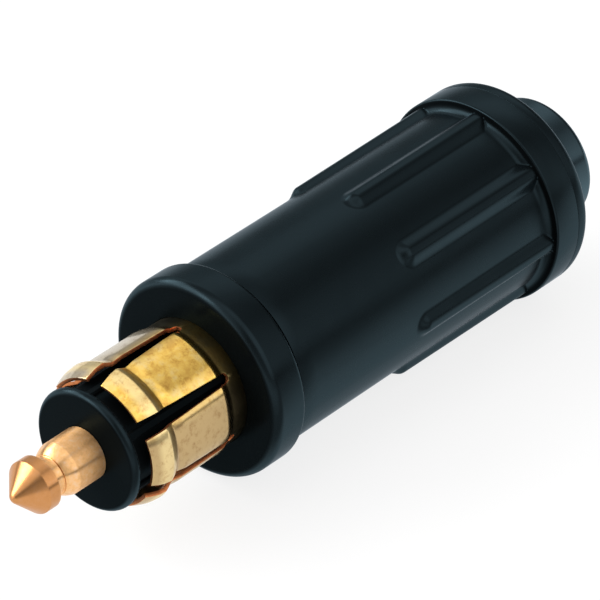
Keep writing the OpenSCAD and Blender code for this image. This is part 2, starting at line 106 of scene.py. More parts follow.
def linear(code):
    """Linear red, green and blue of an sRGB hex colour."""
    parts = [int(code[i:i + 2], 16) / 255 for i in (1, 3, 5)]
    return [c / 12.92 if c <= 0.04045 else ((c + 0.055) / 1.055) ** 2.4 for c in parts]


def size_of(name, about, value, low, high):
    """A length setting. Its values are given in millimetres."""
    return FloatProperty(name=name, description=about, default=value * MM, min=low * MM, max=high * MM,
                         unit="LENGTH", precision=5)


def turn_of(name, about, degrees):
    """An angle setting. Its value is given in degrees."""
    return FloatProperty(name=name, description=about, default=math.radians(degrees), unit="ROTATION")


def colour_of(name, about, code):
    """A colour setting."""
    return FloatVectorProperty(name=name, description=about, default=linear(code), min=0, max=1,
                               subtype="COLOR", size=3)


class PlugGrip(bpy.types.PropertyGroup):
    """Sizes of the grip sleeve and of the end cap."""

    tube: size_of("Tube", "Radius of the tube between its ribs", 8.8, 8.4, 9.8)
    chamber: size_of("Chamber", "Radius of the wiring chamber", 7.3, 6.8, 7.6)
    bore: size_of("Bore", "Radius of the threaded bores at both ends", 7.5, 7.0, 8.0)
    lip: size_of("Lip", "Radius inside the lip that the grommet seats on", 6.0, 5.0, 6.6)
    lip_t: size_of("Lip thickness", "Thickness of that lip", 1.2, 0.8, 2.0)
    ribs: IntProperty(name="Ribs", description="Number of ribs", default=8, min=4, max=12)
    rib_turn: turn_of("First rib", "Direction of the first rib about the axis", 41.8)
    rib_length: size_of("Rib length", "From the ribs' noses to the collar", 17.9, 15, 24)
    rib_rise: size_of("Rib height", "Height of the ribs over the tube at their noses", 0.6, 0.3, 0.9)
    rib_draft: turn_of("Rib draft", "Slope of the ribs' crest, which rises towards the collar", 0.5)
    rib_crest: size_of("Rib crest", "Width of the crest of a rib", 0.3, 0.1, 2.4)
    rib_flank: size_of("Rib flank", "Width of each soft flank of a rib", 1.3, 0.3, 1.6)
    step: size_of("Collar step", "Height of the collar over the tube", 1.15, 0.95, 1.6)
    collar: size_of("Collar length", "Length of the collar", 2.93, 2, 5)
    fillet: size_of("Fillet", "Fillet where the tube meets the collar", 0.8, 0.2, 1.0)
    edge: size_of("Collar edge", "Rounding of the collar's front edge", 0.2, 0.1, 0.3)
    seam: size_of("Seam", "Rounding of the edges that meet at a seam", 0.05, 0.02, 0.2)
    cap_round: size_of("Cap rounding", "Rounding of the end cap's rear edge", 1.1, 0.4, 1.3)


class PlugFlange(bpy.types.PropertyGroup):
    """Sizes of the front housing's flange and of the insulator's disc."""

    step: size_of("Step", "Height of the flange over the tube", 0.68, 0.3, 1.2)
    front: size_of("Front rounding", "Rounding of the flange's front edge", 0.9, 0.3, 1.2)
    rear: size_of("Rear rounding", "Rounding of the flange's rear edge", 0.45, 0.2, 0.6)
    socket: size_of("Socket", "Radius of the socket round the contact sleeve", 6.03, 5.8, 6.4)
    disc: size_of("Disc", "Radius of the insulator's front disc", 5.72, 5.3, 6.0)
    disc_round: size_of("Disc rounding", "Rounding of the disc's front edge", 0.55, 0.1, 0.65)


class PlugSleeve(bpy.types.PropertyGroup):
    """Sizes of the contact sleeve."""

    band: size_of("Band radius", "Outer radius of the sleeve's band", 6.0, 5.7, 6.3)
    sheet: size_of("Sheet", "Thickness of the brass sheet", 0.38, 0.25, 0.45)
    lip: size_of("Lip", "Width of the lip that the band turns in at its rear", 1.42, 0.8, 1.6)
    fingers: IntProperty(name="Fingers", description="Number of spring fingers", default=6, min=3, max=8)
    slot_turn: turn_of("First slot", "Direction of the first slot about the axis", 35.8)
    slot: size_of("Slot", "Width of a slot at its round end", 0.9, 0.6, 1.2)
    slot_tip: size_of("Slot at tip", "Width of a slot at the finger tips", 1.7, 1.2, 2.0)
    slot_start: size_of("Slot start", "Distance of the slots' round ends from the flange", 1.1, 0.6, 2.0)
    bend: size_of("Root bend", "Distance of the fingers' root bend from the flange", 2.5, 2.1, 4.0)
    rise: size_of("Rise", "Rise of the fingers over the band, up to the joggle", 0.16, 0.05, 0.3)
    flat: size_of("Flatness", "How far the flattened fingers' sides stand out of the round", 0.35, 0, 0.5)
    dip: size_of("Dip", "Depth of the dip in front of the joggle", 0.04, 0, 0.3)
    joggle: size_of("Joggle", "Distance of the joggle's foot from the finger tips", 2.95, 2.4, 4.2)
    joggle_length: size_of("Joggle length", "Length of the joggle's rise", 1.1, 0.4, 1.4)
    crest: size_of("Crest", "Rise of the crest over the band", 0.57, 0.35, 0.7)
    fall: turn_of("Fall", "Slope of the crest between the joggle and the brow", 7)
    brow: size_of("Brow", "Distance from the tips at which the crest turns down", 1.3, 1, 2.2)
    tip: size_of("Tip", "Rise of the finger tips over the band", 0.02, -0.1, 0.2)


class PlugPin(bpy.types.PropertyGroup):
    """Sizes of the centre pin."""

    radius: size_of("Radius", "Radius of the pin's plain part and head", 2.44, 2.1, 2.8)
    shank: size_of("Shank", "Radius of the threaded shank", 1.5, 1.25, 1.7)
    plain: size_of("Plain part", "Length of the plain part in front of the disc", 3.0, 2.0, 6.0)
    shoulder: size_of("Shoulder", "Length of the sloped shoulder", 1.15, 0.4, 1.2)
    drop: size_of("Drop", "Depth of the shoulder's foot under the plain part", 0.54, 0.2, 0.6)
    groove: size_of("Groove", "Length of the groove", 1.15, 0.7, 2.0)
    groove_drop: size_of("Groove depth", "Depth of the groove under the shoulder's foot", 0.15, 0.05, 0.3)
    head: size_of("Head", "Length of the head between the groove and the cone", 1.2, 0.6, 2.5)
    break_: size_of("Edge break", "Chamfer left by the tool on the pin's edges", 0.05, 0.02, 0.1)
    tip: size_of("Tip", "Radius of the rounded tip", 0.72, 0.2, 1.0)


class PlugGrommet(bpy.types.PropertyGroup):
    """Sizes of the cable grommet."""

    radius: size_of("Radius", "Radius of the grommet's snout", 6.1, 5.4, 6.6)
    round: size_of("Rounding", "Rounding of the snout's rear rim", 0.8, 0.4, 1.6)
    hole: size_of("Hole", "Radius of the cord's hole", 3.0, 2.4, 3.3)
    flange: size_of("Flange", "Thickness of the flange that the cap squeezes", 2.5, 1.5, 4.0)
    nose: size_of("Nose", "Length of the sealing nose inside the lip", 2.0, 1.4, 3.0)


class PlugFinish(bpy.types.PropertyGroup):
    """Colours of the plug's materials."""

    plastic: colour_of("Plastic", "Black moulded plastic of the housing and the grip", "#07090a")
    rubber: colour_of("Rubber", "Black rubber of the grommet and the seal", "#060607")
    sheen: colour_of("Sheen", "Cool shine of the black pieces", "#b8e4f6")
    brass: colour_of("Brass", "Bright brass of the contact sleeve", "#f9cf6a")
    tarnish: colour_of("Tarnish", "Darker film on the contact sleeve", "#e4b55a")
    worn: colour_of("Worn brass", "Paler brass where the fingers rub", "#f6dfa4")
    # the next two colours are painted light: a duller tone on the lower fingers as painted shade, and grey on
    # the far fingers as a painted reflection
    lower_fingers_shade: colour_of("Aged brass", "Dull film on the lower fingers", "#c4a878")
    far_fingers_reflection: colour_of("Greyed brass", "Grey film on the far fingers", "#bdb29c")
    cut: colour_of("Cut brass", "Coppery cut edges of the contact sleeve", "#e69560")
    copper: colour_of("Pin", "Turned copper alloy of the centre pin", "#f5be80")
    browned: colour_of("Browned pin", "Copper alloy browned at the contact end", "#c0824e")


class PlugStage(bpy.types.PropertyGroup):
    """Camera, lights and floor."""

    azimuth: turn_of("Azimuth", "Direction of the camera about the plug", -48.157)
    elevation: turn_of("Elevation", "Height of the camera over the horizon", 35.365)
    distance: size_of("Distance", "From the camera to the point it looks at", 391.5, 100, 2000)
    lens: FloatProperty(name="Lens", description="Focal length in millimetres", default=276.0, min=20)
    floor: colour_of("Floor", "Plain pale floor", "#ffffff")
    key: FloatProperty(name="Key", description="Power of the long softbox in watts", default=6.0, min=0)
    walls: FloatProperty(name="Walls", description="Strength of the light tent", default=0.95, min=0, max=2)


def clear_selection():
    """Deselects every object, since an operator acts on all that is selected."""
    bpy.ops.object.select_all(action="DESELECT")


def take(*pieces):
    """Makes these pieces the only selected ones, and the first one the active one."""
    clear_selection()
    for piece in pieces:
        piece.select_set(True)
    bpy.context.view_layer.objects.active = pieces[0]


def weld(smooth=TURNED_SMOOTH):
    """Merges doubles of the active piece, turns its faces outwards and smooths it up to an angle."""
    bpy.ops.object.mode_set(mode="EDIT")
    bpy.ops.mesh.select_all(action="SELECT")
    bpy.ops.mesh.remove_doubles(threshold=WELD)
    bpy.ops.mesh.normals_make_consistent(inside=False)
    bpy.ops.object.mode_set(mode="OBJECT")
    bpy.ops.object.shade_smooth_by_angle(angle=math.radians(smooth))


def join(*pieces):
    """Joins pieces into the first one."""
    take(*pieces)
    bpy.ops.object.join()
    return bpy.context.object


def finish_piece(piece, name, slot, materials, *nodes):
    """Names a finished piece, gives it its materials and puts it in the place of its CAD nodes."""
    piece.name = name
    piece.data.name = name
    piece.data.materials.clear()
    for material in materials:
        piece.data.materials.append(material)
    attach(piece, "root")
    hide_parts(*nodes)


def arc(s, r, radius, start, stop, steps=8):
    """Points of an arc about (s, r). Angles are in degrees, from the tip's direction outwards."""
    angles = [math.radians(a) for a in spread(start, stop, steps)]
    return [(s + radius * math.cos(a), r + radius * math.sin(a)) for a in angles]


def turned(section, smooth=TURNED_SMOOTH):
    """A turned piece: its closed section is drawn from point to point above the axis, then spun."""
    clear_selection()
    points = [place(s, r) for s, r in section]
    bpy.ops.mesh.primitive_plane_add(size=MM, location=(0, 0, 0))
    piece = bpy.context.object
    bpy.ops.object.mode_set(mode="EDIT")
    bpy.ops.mesh.select_all(action="SELECT")
    bpy.ops.mesh.merge(type="CENTER")
    bpy.ops.transform.translate(value=points[0])
    for here, there in zip(points, points[1:] + points[:1]):
        bpy.ops.mesh.extrude_region_move(TRANSFORM_OT_translate={"value": there - here})
    bpy.ops.mesh.select_all(action="SELECT")
    bpy.ops.mesh.remove_doubles(threshold=WELD)
    bpy.ops.mesh.spin(steps=SPIN_STEPS, angle=TURN, center=(0, 0, AXIS_Z), axis=(1, 0, 0))
    bpy.ops.object.mode_set(mode="OBJECT")
    weld(smooth)
    return piece


def rear_of(node, s):
    """A welded copy of a CAD node's mesh, cut off and closed at a distance along the axis."""
    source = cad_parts[node]
    piece = bpy.data.objects.new(node + "_rear", source.data.copy())
    bpy.context.scene.collection.objects.link(piece)
    take(piece)
    bpy.ops.mesh.customdata_custom_splitnormals_clear()
    bpy.ops.object.mode_set(mode="EDIT")
    bpy.ops.mesh.select_all(action="SELECT")
    bpy.ops.mesh.remove_doubles(threshold=WELD)
    bpy.ops.mesh.bisect(plane_co=place(s, 0), plane_no=(1, 0, 0), use_fill=True, clear_inner=True)
    bpy.ops.object.mode_set(mode="OBJECT")
    bpy.ops.object.shade_smooth_by_angle(angle=math.radians(TURNED_SMOOTH))
    return piece


def sector(rows, turns, point):
    """A grid with a row for each station and a column for each direction, laid out by a function."""
    clear_selection()
    bpy.ops.mesh.primitive_grid_add(x_subdivisions=len(turns) - 1, y_subdivisions=len(rows) - 1, size=2)
    piece = bpy.context.object
    for vertex in piece.data.vertices:
        column = round((vertex.co.x + 1) / 2 * (len(turns) - 1))
        row = round((vertex.co.y + 1) / 2 * (len(rows) - 1))
        vertex.co = point(rows[row], turns[column])
    return piece


def all_round(piece, count):
    """Copies a sector round the axis and joins the copies."""
    copies = [piece]
    for i in range(1, count):
        copy = piece.copy()
        copy.data = piece.data.copy()
        bpy.context.scene.collection.objects.link(copy)
        take(copy)
        bpy.ops.object.mode_set(mode="EDIT")
        bpy.ops.mesh.select_all(action="SELECT")
        bpy.ops.transform.rotate(value=i * TURN / count, orient_axis="X", center_override=(0, 0, AXIS_Z))
        bpy.ops.object.mode_set(mode="OBJECT")
        copies.append(copy)
    return join(*copies)


def add_node(tree, kind, values=None, links=None, stops=None, **options):
    """Adds a node: options are its own settings, values its sockets' numbers, links its inputs' sources and
    stops the places and colours of its ramp. A node given as a source stands for its first output."""
    node = tree.nodes.new(kind)
    for key, value in options.items():
        setattr(node, key, value)
    for key, value in (values or {}).items():
        node.inputs[key].default_value = value
    for key, source in (links or {}).items():
        if isinstance(source, bpy.types.Node):
            source = source.outputs[0]
        tree.links.new(source, node.inputs[key])
    for i, (at, colour) in enumerate(stops or ()):
        stop = node.color_ramp.elements[i] if i < 2 else node.color_ramp.elements.new(at)
        stop.position = at
        stop.color = (*colour, 1)
    return node


def new_material(name):
    """A material with only its output node, and the object's own coordinates."""
    material = bpy.data.materials.new(name)
    material.use_nodes = True
    tree = material.node_tree
    tree.nodes.clear()
    output = add_node(tree, "ShaderNodeOutputMaterial")
    return material, tree, output.inputs["Surface"], add_node(tree, "ShaderNodeTexCoord").outputs["Object"]


def every(millimetres):
    """Scale of a noise whose features are this far apart."""
    return 1 / (millimetres * MM)


def moulded_black(name, colour, sheen, rough, levels, grain):
    """Black thermoplastic or rubber from a polished mould: a near-black body under a thin cool shine that
    grows towards the edges, broken up by handling marks and a fine grain. The real grain is too fine to show,
    so it is drawn about a tenth of a millimetre wide. The faces square to the tip keep only a small share of
    the shine, which paints them darker as painted shade."""
    material, tree, surface, coords = new_material(name)
    marks = add_node(tree, "ShaderNodeTexNoise", {"Scale": every(3.5), "Detail": 4, "Roughness": 0.6},
                     {"Vector": coords})
    fine = add_node(tree, "ShaderNodeTexNoise", {"Scale": every(grain), "Detail": 2, "Roughness": 0.6},
                    {"Vector": coords})
    roughness = add_node(tree, "ShaderNodeMapRange",
                         {"From Min": 0.3, "From Max": 0.7, "To Min": rough - 0.03, "To Max": rough + 0.05},
                         {"Value": marks})
    bump = add_node(tree, "ShaderNodeBump", {"Strength": 0.4, "Distance": 3e-6}, {"Height": fine})
    body = add_node(tree, "ShaderNodeBsdfPrincipled",
                    {"Base Color": (*colour, 1), "Roughness": 0.6, "Specular IOR Level": 0.0},
                    {"Normal": bump})
    facing = add_node(tree, "ShaderNodeLayerWeight", {"Blend": 0.5}).outputs["Facing"]
    cool = add_node(tree, "ShaderNodeValToRGB", None, {"Fac": facing},
                    [(0.55, sheen), (0.9, linear("#dcebf6"))])
    shine = add_node(tree, "ShaderNodeBsdfGlossy", None,
                     {"Color": cool, "Roughness": roughness, "Normal": bump})
    share = add_node(tree, "ShaderNodeValToRGB", None, {"Fac": facing},
                     [(at, [level] * 3) for at, level in levels])
    normal = add_node(tree, "ShaderNodeTexCoord").outputs["Normal"]
    square = add_node(tree, "ShaderNodeSeparateXYZ", None, {0: normal}).outputs["X"]
    # faces square to the tip keep 15 percent of the shine, as painted shade
    face_shade = add_node(tree, "ShaderNodeMapRange",
                       {"From Min": -0.99, "From Max": -0.85, "To Min": 0.15, "To Max": 1.0},
                       {"Value": square})
    kept = add_node(tree, "ShaderNodeMath", None, {0: share, 1: face_shade}, operation="MULTIPLY")
    mix = add_node(tree, "ShaderNodeMixShader", None, {0: kept, 1: body, 2: shine})
    tree.links.new(mix.outputs[0], surface)
    return material


def stamped_brass(name, bright, film, worn, lower_fingers_shade, far_fingers_reflection):
    """Rolled and pressed brass sheet with a thin old film: polished gold that goes paler and browner in soft
    patches, with small stains. The drawing lines along the fingers are finer in life, and are drawn 0.15 mm
    wide to show faintly."""
    material, tree, surface, coords = new_material(name)
    patches = add_node(tree, "ShaderNodeTexNoise", {"Scale": every(1.6), "Detail": 4, "Roughness": 0.6},
                       {"Vector": coords})
    base = add_node(tree, "ShaderNodeValToRGB", None, {"Fac": patches},
                    [(0.38, film), (0.5, bright), (0.64, linear("#f8d88c"))])
    # how far a place is from the plug's axis tells where the fingers rub in a socket
    across = add_node(tree, "ShaderNodeMapping", {"Scale": (0, 1, 1), "Location": (0, 0, -AXIS_Z)},
                      {"Vector": coords})
    away = add_node(tree, "ShaderNodeVectorMath", None, {0: across}, operation="LENGTH").outputs["Value"]
    parts = add_node(tree, "ShaderNodeSeparateXYZ", None, {0: across}).outputs
    # the lower fingers are painted a duller tone as painted shade and the far ones grey as a painted
    # reflection, and the film is worn off where the fingers rub
    films = (
        (lower_fingers_shade, parts["Z"], 3.8 * MM, 2.4 * MM, 1.0),
        (far_fingers_reflection, parts["Y"], 0.3 * MM, 2.2 * MM, 1.0),
        (worn, away, 6.25 * MM, 6.45 * MM, 0.7),
    )
    for colour, source, none, full, most in films:
        share = add_node(tree, "ShaderNodeMapRange", {"From Min": none, "From Max": full, "To Max": most},
                         {"Value": source})
        base = add_node(tree, "ShaderNodeMix", {7: (*colour, 1)}, {0: share, 6: base},
                        data_type="RGBA").outputs[2]
    spots = add_node(tree, "ShaderNodeTexNoise", {"Scale": every(0.7), "Detail": 6, "Roughness": 0.75},
                     {"Vector": coords})
    stains = add_node(tree, "ShaderNodeValToRGB", None, {"Fac": spots},
                      [(0.3, linear("#a87c46")), (0.5, linear("#ffffff"))])
    base = add_node(tree, "ShaderNodeMix", {0: 0.55}, {6: base, 7: stains}, data_type="RGBA",
                    blend_type="MULTIPLY").outputs[2]
    # the band behind the fingers is painted nearly black as painted shade and a painted reflection of the
    # dark flange beside it; it is also never rubbed and stays dull
    band_x = REAR_X - along("front_housing", 1) - 2.4 * MM
    along_x = add_node(tree, "ShaderNodeSeparateXYZ", None, {0: coords}).outputs["X"]
    band = add_node(tree, "ShaderNodeMapRange",
                    {"From Min": band_x, "From Max": band_x + 0.7 * MM, "To Max": 0.82}, {"Value": along_x})
    base = add_node(tree, "ShaderNodeMix", {7: (*linear("#3a3a2c"), 1)}, {0: band, 6: base},
                    data_type="RGBA").outputs[2]
    smooth = add_node(tree, "ShaderNodeMapRange",
                      {"From Min": 0.35, "From Max": 0.65, "To Min": 0.16, "To Max": 0.1},
                      {"Value": patches})
    dull = add_node(tree, "ShaderNodeMapRange",
                    {"From Min": band_x, "From Max": band_x + 0.8 * MM, "To Max": 0.2}, {"Value": along_x})
    rough = add_node(tree, "ShaderNodeMath", None, {0: smooth, 1: dull}, operation="ADD")
    drawn = add_node(tree, "ShaderNodeMapping", {"Scale": (0.05, 1, 1)}, {"Vector": coords})
    lines = add_node(tree, "ShaderNodeTexNoise", {"Scale": every(0.15), "Detail": 3, "Roughness": 0.6},
                     {"Vector": drawn})
    bump = add_node(tree, "ShaderNodeBump", {"Strength": 0.4, "Distance": 1.5e-6}, {"Height": lines})
    polish = add_node(tree, "ShaderNodeBsdfPrincipled", {"Metallic": 1},
                      {"Base Color": base, "Roughness": rough, "Normal": bump})
    haze = add_node(tree, "ShaderNodeBsdfPrincipled", {"Metallic": 1, "Roughness": 0.5},
                    {"Base Color": base, "Normal": bump})
    hazy = add_node(tree, "ShaderNodeMapRange",
                    {"From Min": band_x - 0.6 * MM, "From Max": band_x + 0.2 * MM, "To Min": 0.4,
                     "To Max": 0.03}, {"Value": along_x})
    mix = add_node(tree, "ShaderNodeMixShader", None, {0: hazy, 1: polish, 2: haze})
    tree.links.new(mix.outputs[0], surface)
    return material


def turned_copper(name, colour, browned):
    """Copper alloy from the lathe: the rings of the tool spread its shine along the pin but leave it sharp
    round the pin, and a few faint stains warm and cool the colour."""
    material, tree, surface, coords = new_material(name)
    stains = add_node(tree, "ShaderNodeTexNoise", {"Scale": every(0.5), "Detail": 4, "Roughness": 0.7},
                      {"Vector": coords})
    tone = add_node(tree, "ShaderNodeValToRGB", None, {"Fac": stains},
                    [(0.3, [c * 0.8 for c in colour]), (0.5, colour), (0.75, linear("#f3cda6"))])
    # the head and the cone have browned in use, and the pin is smoother from its shoulder to its tip
    head_x = REAR_X - along("nose_insulator", 1) - 4.4 * MM
    along_x = add_node(tree, "ShaderNodeSeparateXYZ", None, {0: coords}).outputs["X"]
    used = add_node(tree, "ShaderNodeMapRange",
                    {"From Min": head_x, "From Max": head_x - 1.2 * MM, "To Max": 0.8}, {"Value": along_x})
    tone = add_node(tree, "ShaderNodeMix", {7: (*browned, 1)}, {0: used, 6: tone},
                    data_type="RGBA").outputs[2]
    rough = add_node(tree, "ShaderNodeMapRange",
                     {"From Min": head_x + 1.4 * MM, "From Max": head_x + 1.3 * MM, "To Min": 0.37,
                      "To Max": 0.28}, {"Value": along_x})
    around = add_node(tree, "ShaderNodeTangent", direction_type="RADIAL", axis="X")
    rings = add_node(tree, "ShaderNodeMapping", {"Scale": (1, 0.02, 0.02)}, {"Vector": coords})
    feed = add_node(tree, "ShaderNodeTexNoise", {"Scale": every(0.07), "Detail": 2, "Roughness": 0.6},
                    {"Vector": rings})
    bump = add_node(tree, "ShaderNodeBump", {"Strength": 0.5, "Distance": 2e-6}, {"Height": feed})
    shader = add_node(tree, "ShaderNodeBsdfPrincipled",
                      {"Metallic": 1, "Anisotropic": 0.9, "Anisotropic Rotation": 0.25},
                      {"Base Color": tone, "Roughness": rough, "Normal": bump, "Tangent": around})
    tree.links.new(shader.outputs[0], surface)
    return material


def plain_metal(name, light, dark, rough, spacing):
    """Small metal parts, plated or plain, with the soft clouding of handled hardware."""
    material, tree, surface, coords = new_material(name)
    cloud = add_node(tree, "ShaderNodeTexNoise", {"Scale": every(spacing), "Detail": 4, "Roughness": 0.6},
                     {"Vector": coords})
    tone = add_node(tree, "ShaderNodeValToRGB", None, {"Fac": cloud}, [(0.35, dark), (0.65, light)])
    bump = add_node(tree, "ShaderNodeBump", {"Strength": 0.4, "Distance": 3e-6}, {"Height": cloud})
    shader = add_node(tree, "ShaderNodeBsdfPrincipled", {"Metallic": 1, "Roughness": rough},
                      {"Base Color": tone, "Normal": bump})
    tree.links.new(shader.outputs[0], surface)
    return material


def carrier_moulding(name):
    """Unfilled polyamide of the terminal carrier: ivory, faintly cloudy and matt."""
    material, tree, surface, coords = new_material(name)
    cloud = add_node(tree, "ShaderNodeTexNoise", {"Scale": every(2.5), "Detail": 3, "Roughness": 0.6},
                     {"Vector": coords})
    tone = add_node(tree, "ShaderNodeValToRGB", None, {"Fac": cloud},
                    [(0.3, linear("#c6bda6")), (0.7, linear("#d8d0bb"))])
    grain = add_node(tree, "ShaderNodeTexNoise", {"Scale": every(0.1), "Detail": 2, "Roughness": 0.6},
                     {"Vector": coords})
    bump = add_node(tree, "ShaderNodeBump", {"Strength": 0.4, "Distance": 3e-6}, {"Height": grain})
    shader = add_node(tree, "ShaderNodeBsdfPrincipled", {"Roughness": 0.55},
                      {"Base Color": tone, "Normal": bump})
    tree.links.new(shader.outputs[0], surface)
    return material


def shared(name, build):
    """The material of that name, built when it is first asked for."""
    return bpy.data.materials.get(name) or build(name)


def black_plastic():
    """Material of the housing, the grip, the cap and the insulator."""
    finish = bpy.context.scene.plug_finish
    return shared("moulded black thermoplastic",
                  lambda name: moulded_black(name, finish.plastic, finish.sheen, 0.27, PLASTIC_SHINE, 0.09))


def core_shade_plastic():
    """Material of the insulator's core: the same plastic with a quarter of its shine and rougher, as painted
    shade between the fingers.
    """
    finish = bpy.context.scene.plug_finish
    dull = [(at, level * 0.25) for at, level in PLASTIC_SHINE]
    return shared("dulled black thermoplastic",
                  lambda name: moulded_black(name, finish.plastic, finish.sheen, 0.45, dull, 0.09))


def black_rubber():
    """Material of the grommet and the seal."""
    finish = bpy.context.scene.plug_finish
    levels = [(0.0, 0.02), (0.2, 0.03), (0.35, 0.08), (0.5, 0.14), (0.7, 0.2), (0.85, 0.2), (1.0, 0.15)]
    return shared("black rubber",
                  lambda name: moulded_black(name, finish.rubber, finish.sheen, 0.2, levels, 0.12))


class PLUG_OT_centre_pin(bpy.types.Operator):
    """Turns the centre pin with its cone, groove, sloped shoulder and shank."""

    bl_idname = "plug.centre_pin"
    bl_label = "Centre pin"

    def execute(self, context):
        pin = context.scene.plug_pin
        s_disc = along("nose_insulator", 1)
        s_shoulder = s_disc + pin.plain
        s_groove = s_shoulder + pin.shoulder
        s_head = s_groove + pin.groove
        s_cone = s_head + pin.head
        foot = pin.radius - pin.drop
        root = foot - pin.groove_drop
        s_rear = along("centre_pin", 0)
        s_tip = along("centre_pin", 1)
        edge = pin.break_
        corner = 2 * edge
        chamfer = 0.3 * MM
        # share of the shoulder's drop that is a straight slope, and the rest bends
        slope = 0.6
        bend = 1 - slope
        section = [(s_rear, 0), (s_rear, pin.shank - chamfer), (s_rear + chamfer, pin.shank),
                   (s_disc, pin.shank), (s_disc, pin.radius - edge), (s_disc + edge, pin.radius),
                   (s_shoulder, pin.radius)]
        # the shoulder starts at a slope, so that the plain part ends in a crisp line
        section += [(s_shoulder + pin.shoulder * t, pin.radius - pin.drop * (slope * t + bend * t * t))
                    for t in spread(0, 1, 14)[1:]]
        section += arc(s_groove + corner, root + corner, corner, 180, 270, 8)
        section += arc(s_head - corner, root + corner, corner, 270, 360, 8)
        section += [(s_head, pin.radius - edge), (s_head + edge, pin.radius),
                    (s_cone - edge / 2, pin.radius), (s_cone + edge / 2, pin.radius - edge / 2)]
        section += arc(s_tip - pin.tip, 0, pin.tip, 45, 0, 10)
        piece = turned(section, smooth=12)
        finish = context.scene.plug_finish
        finish_piece(piece, "centre_pin_turned", "pin_copper",
                     [turned_copper("turned copper alloy", finish.copper, finish.browned)], "centre_pin")
        return {"FINISHED"}


class PLUG_OT_insulator(bpy.types.Operator):
    """Keeps the insulator's core with its keys and turns its front disc with a round edge."""

    bl_idname = "plug.insulator"
    bl_label = "Nose insulator"

    def execute(self, context):
        flange = context.scene.plug_flange
        hole = context.scene.plug_pin.shank + SNUG
        s_front = along("nose_insulator", 1)
        rim = flange.disc_round
        land = 0.05 * MM
        s_cut = s_front - rim - land
        section = [(s_cut, hole), (s_cut, flange.disc)]
        section += arc(s_front - rim, flange.disc - rim, rim, 90, 0, 12)
        section += [(s_front, hole)]
        piece = join(turned(section), rear_of("nose_insulator", s_cut))
        finish_piece(piece, "nose_insulator_moulded", "black_plastic", [black_plastic(), core_shade_plastic()],
                     "nose_insulator")
        # the disc's faces keep the first material, and the core behind it gets the second, whose weaker shine
        # is painted shade
        for face in piece.data.polygons:
            face.material_index = int(face.center.x > REAR_X - s_cut + WELD)
        return {"FINISHED"}


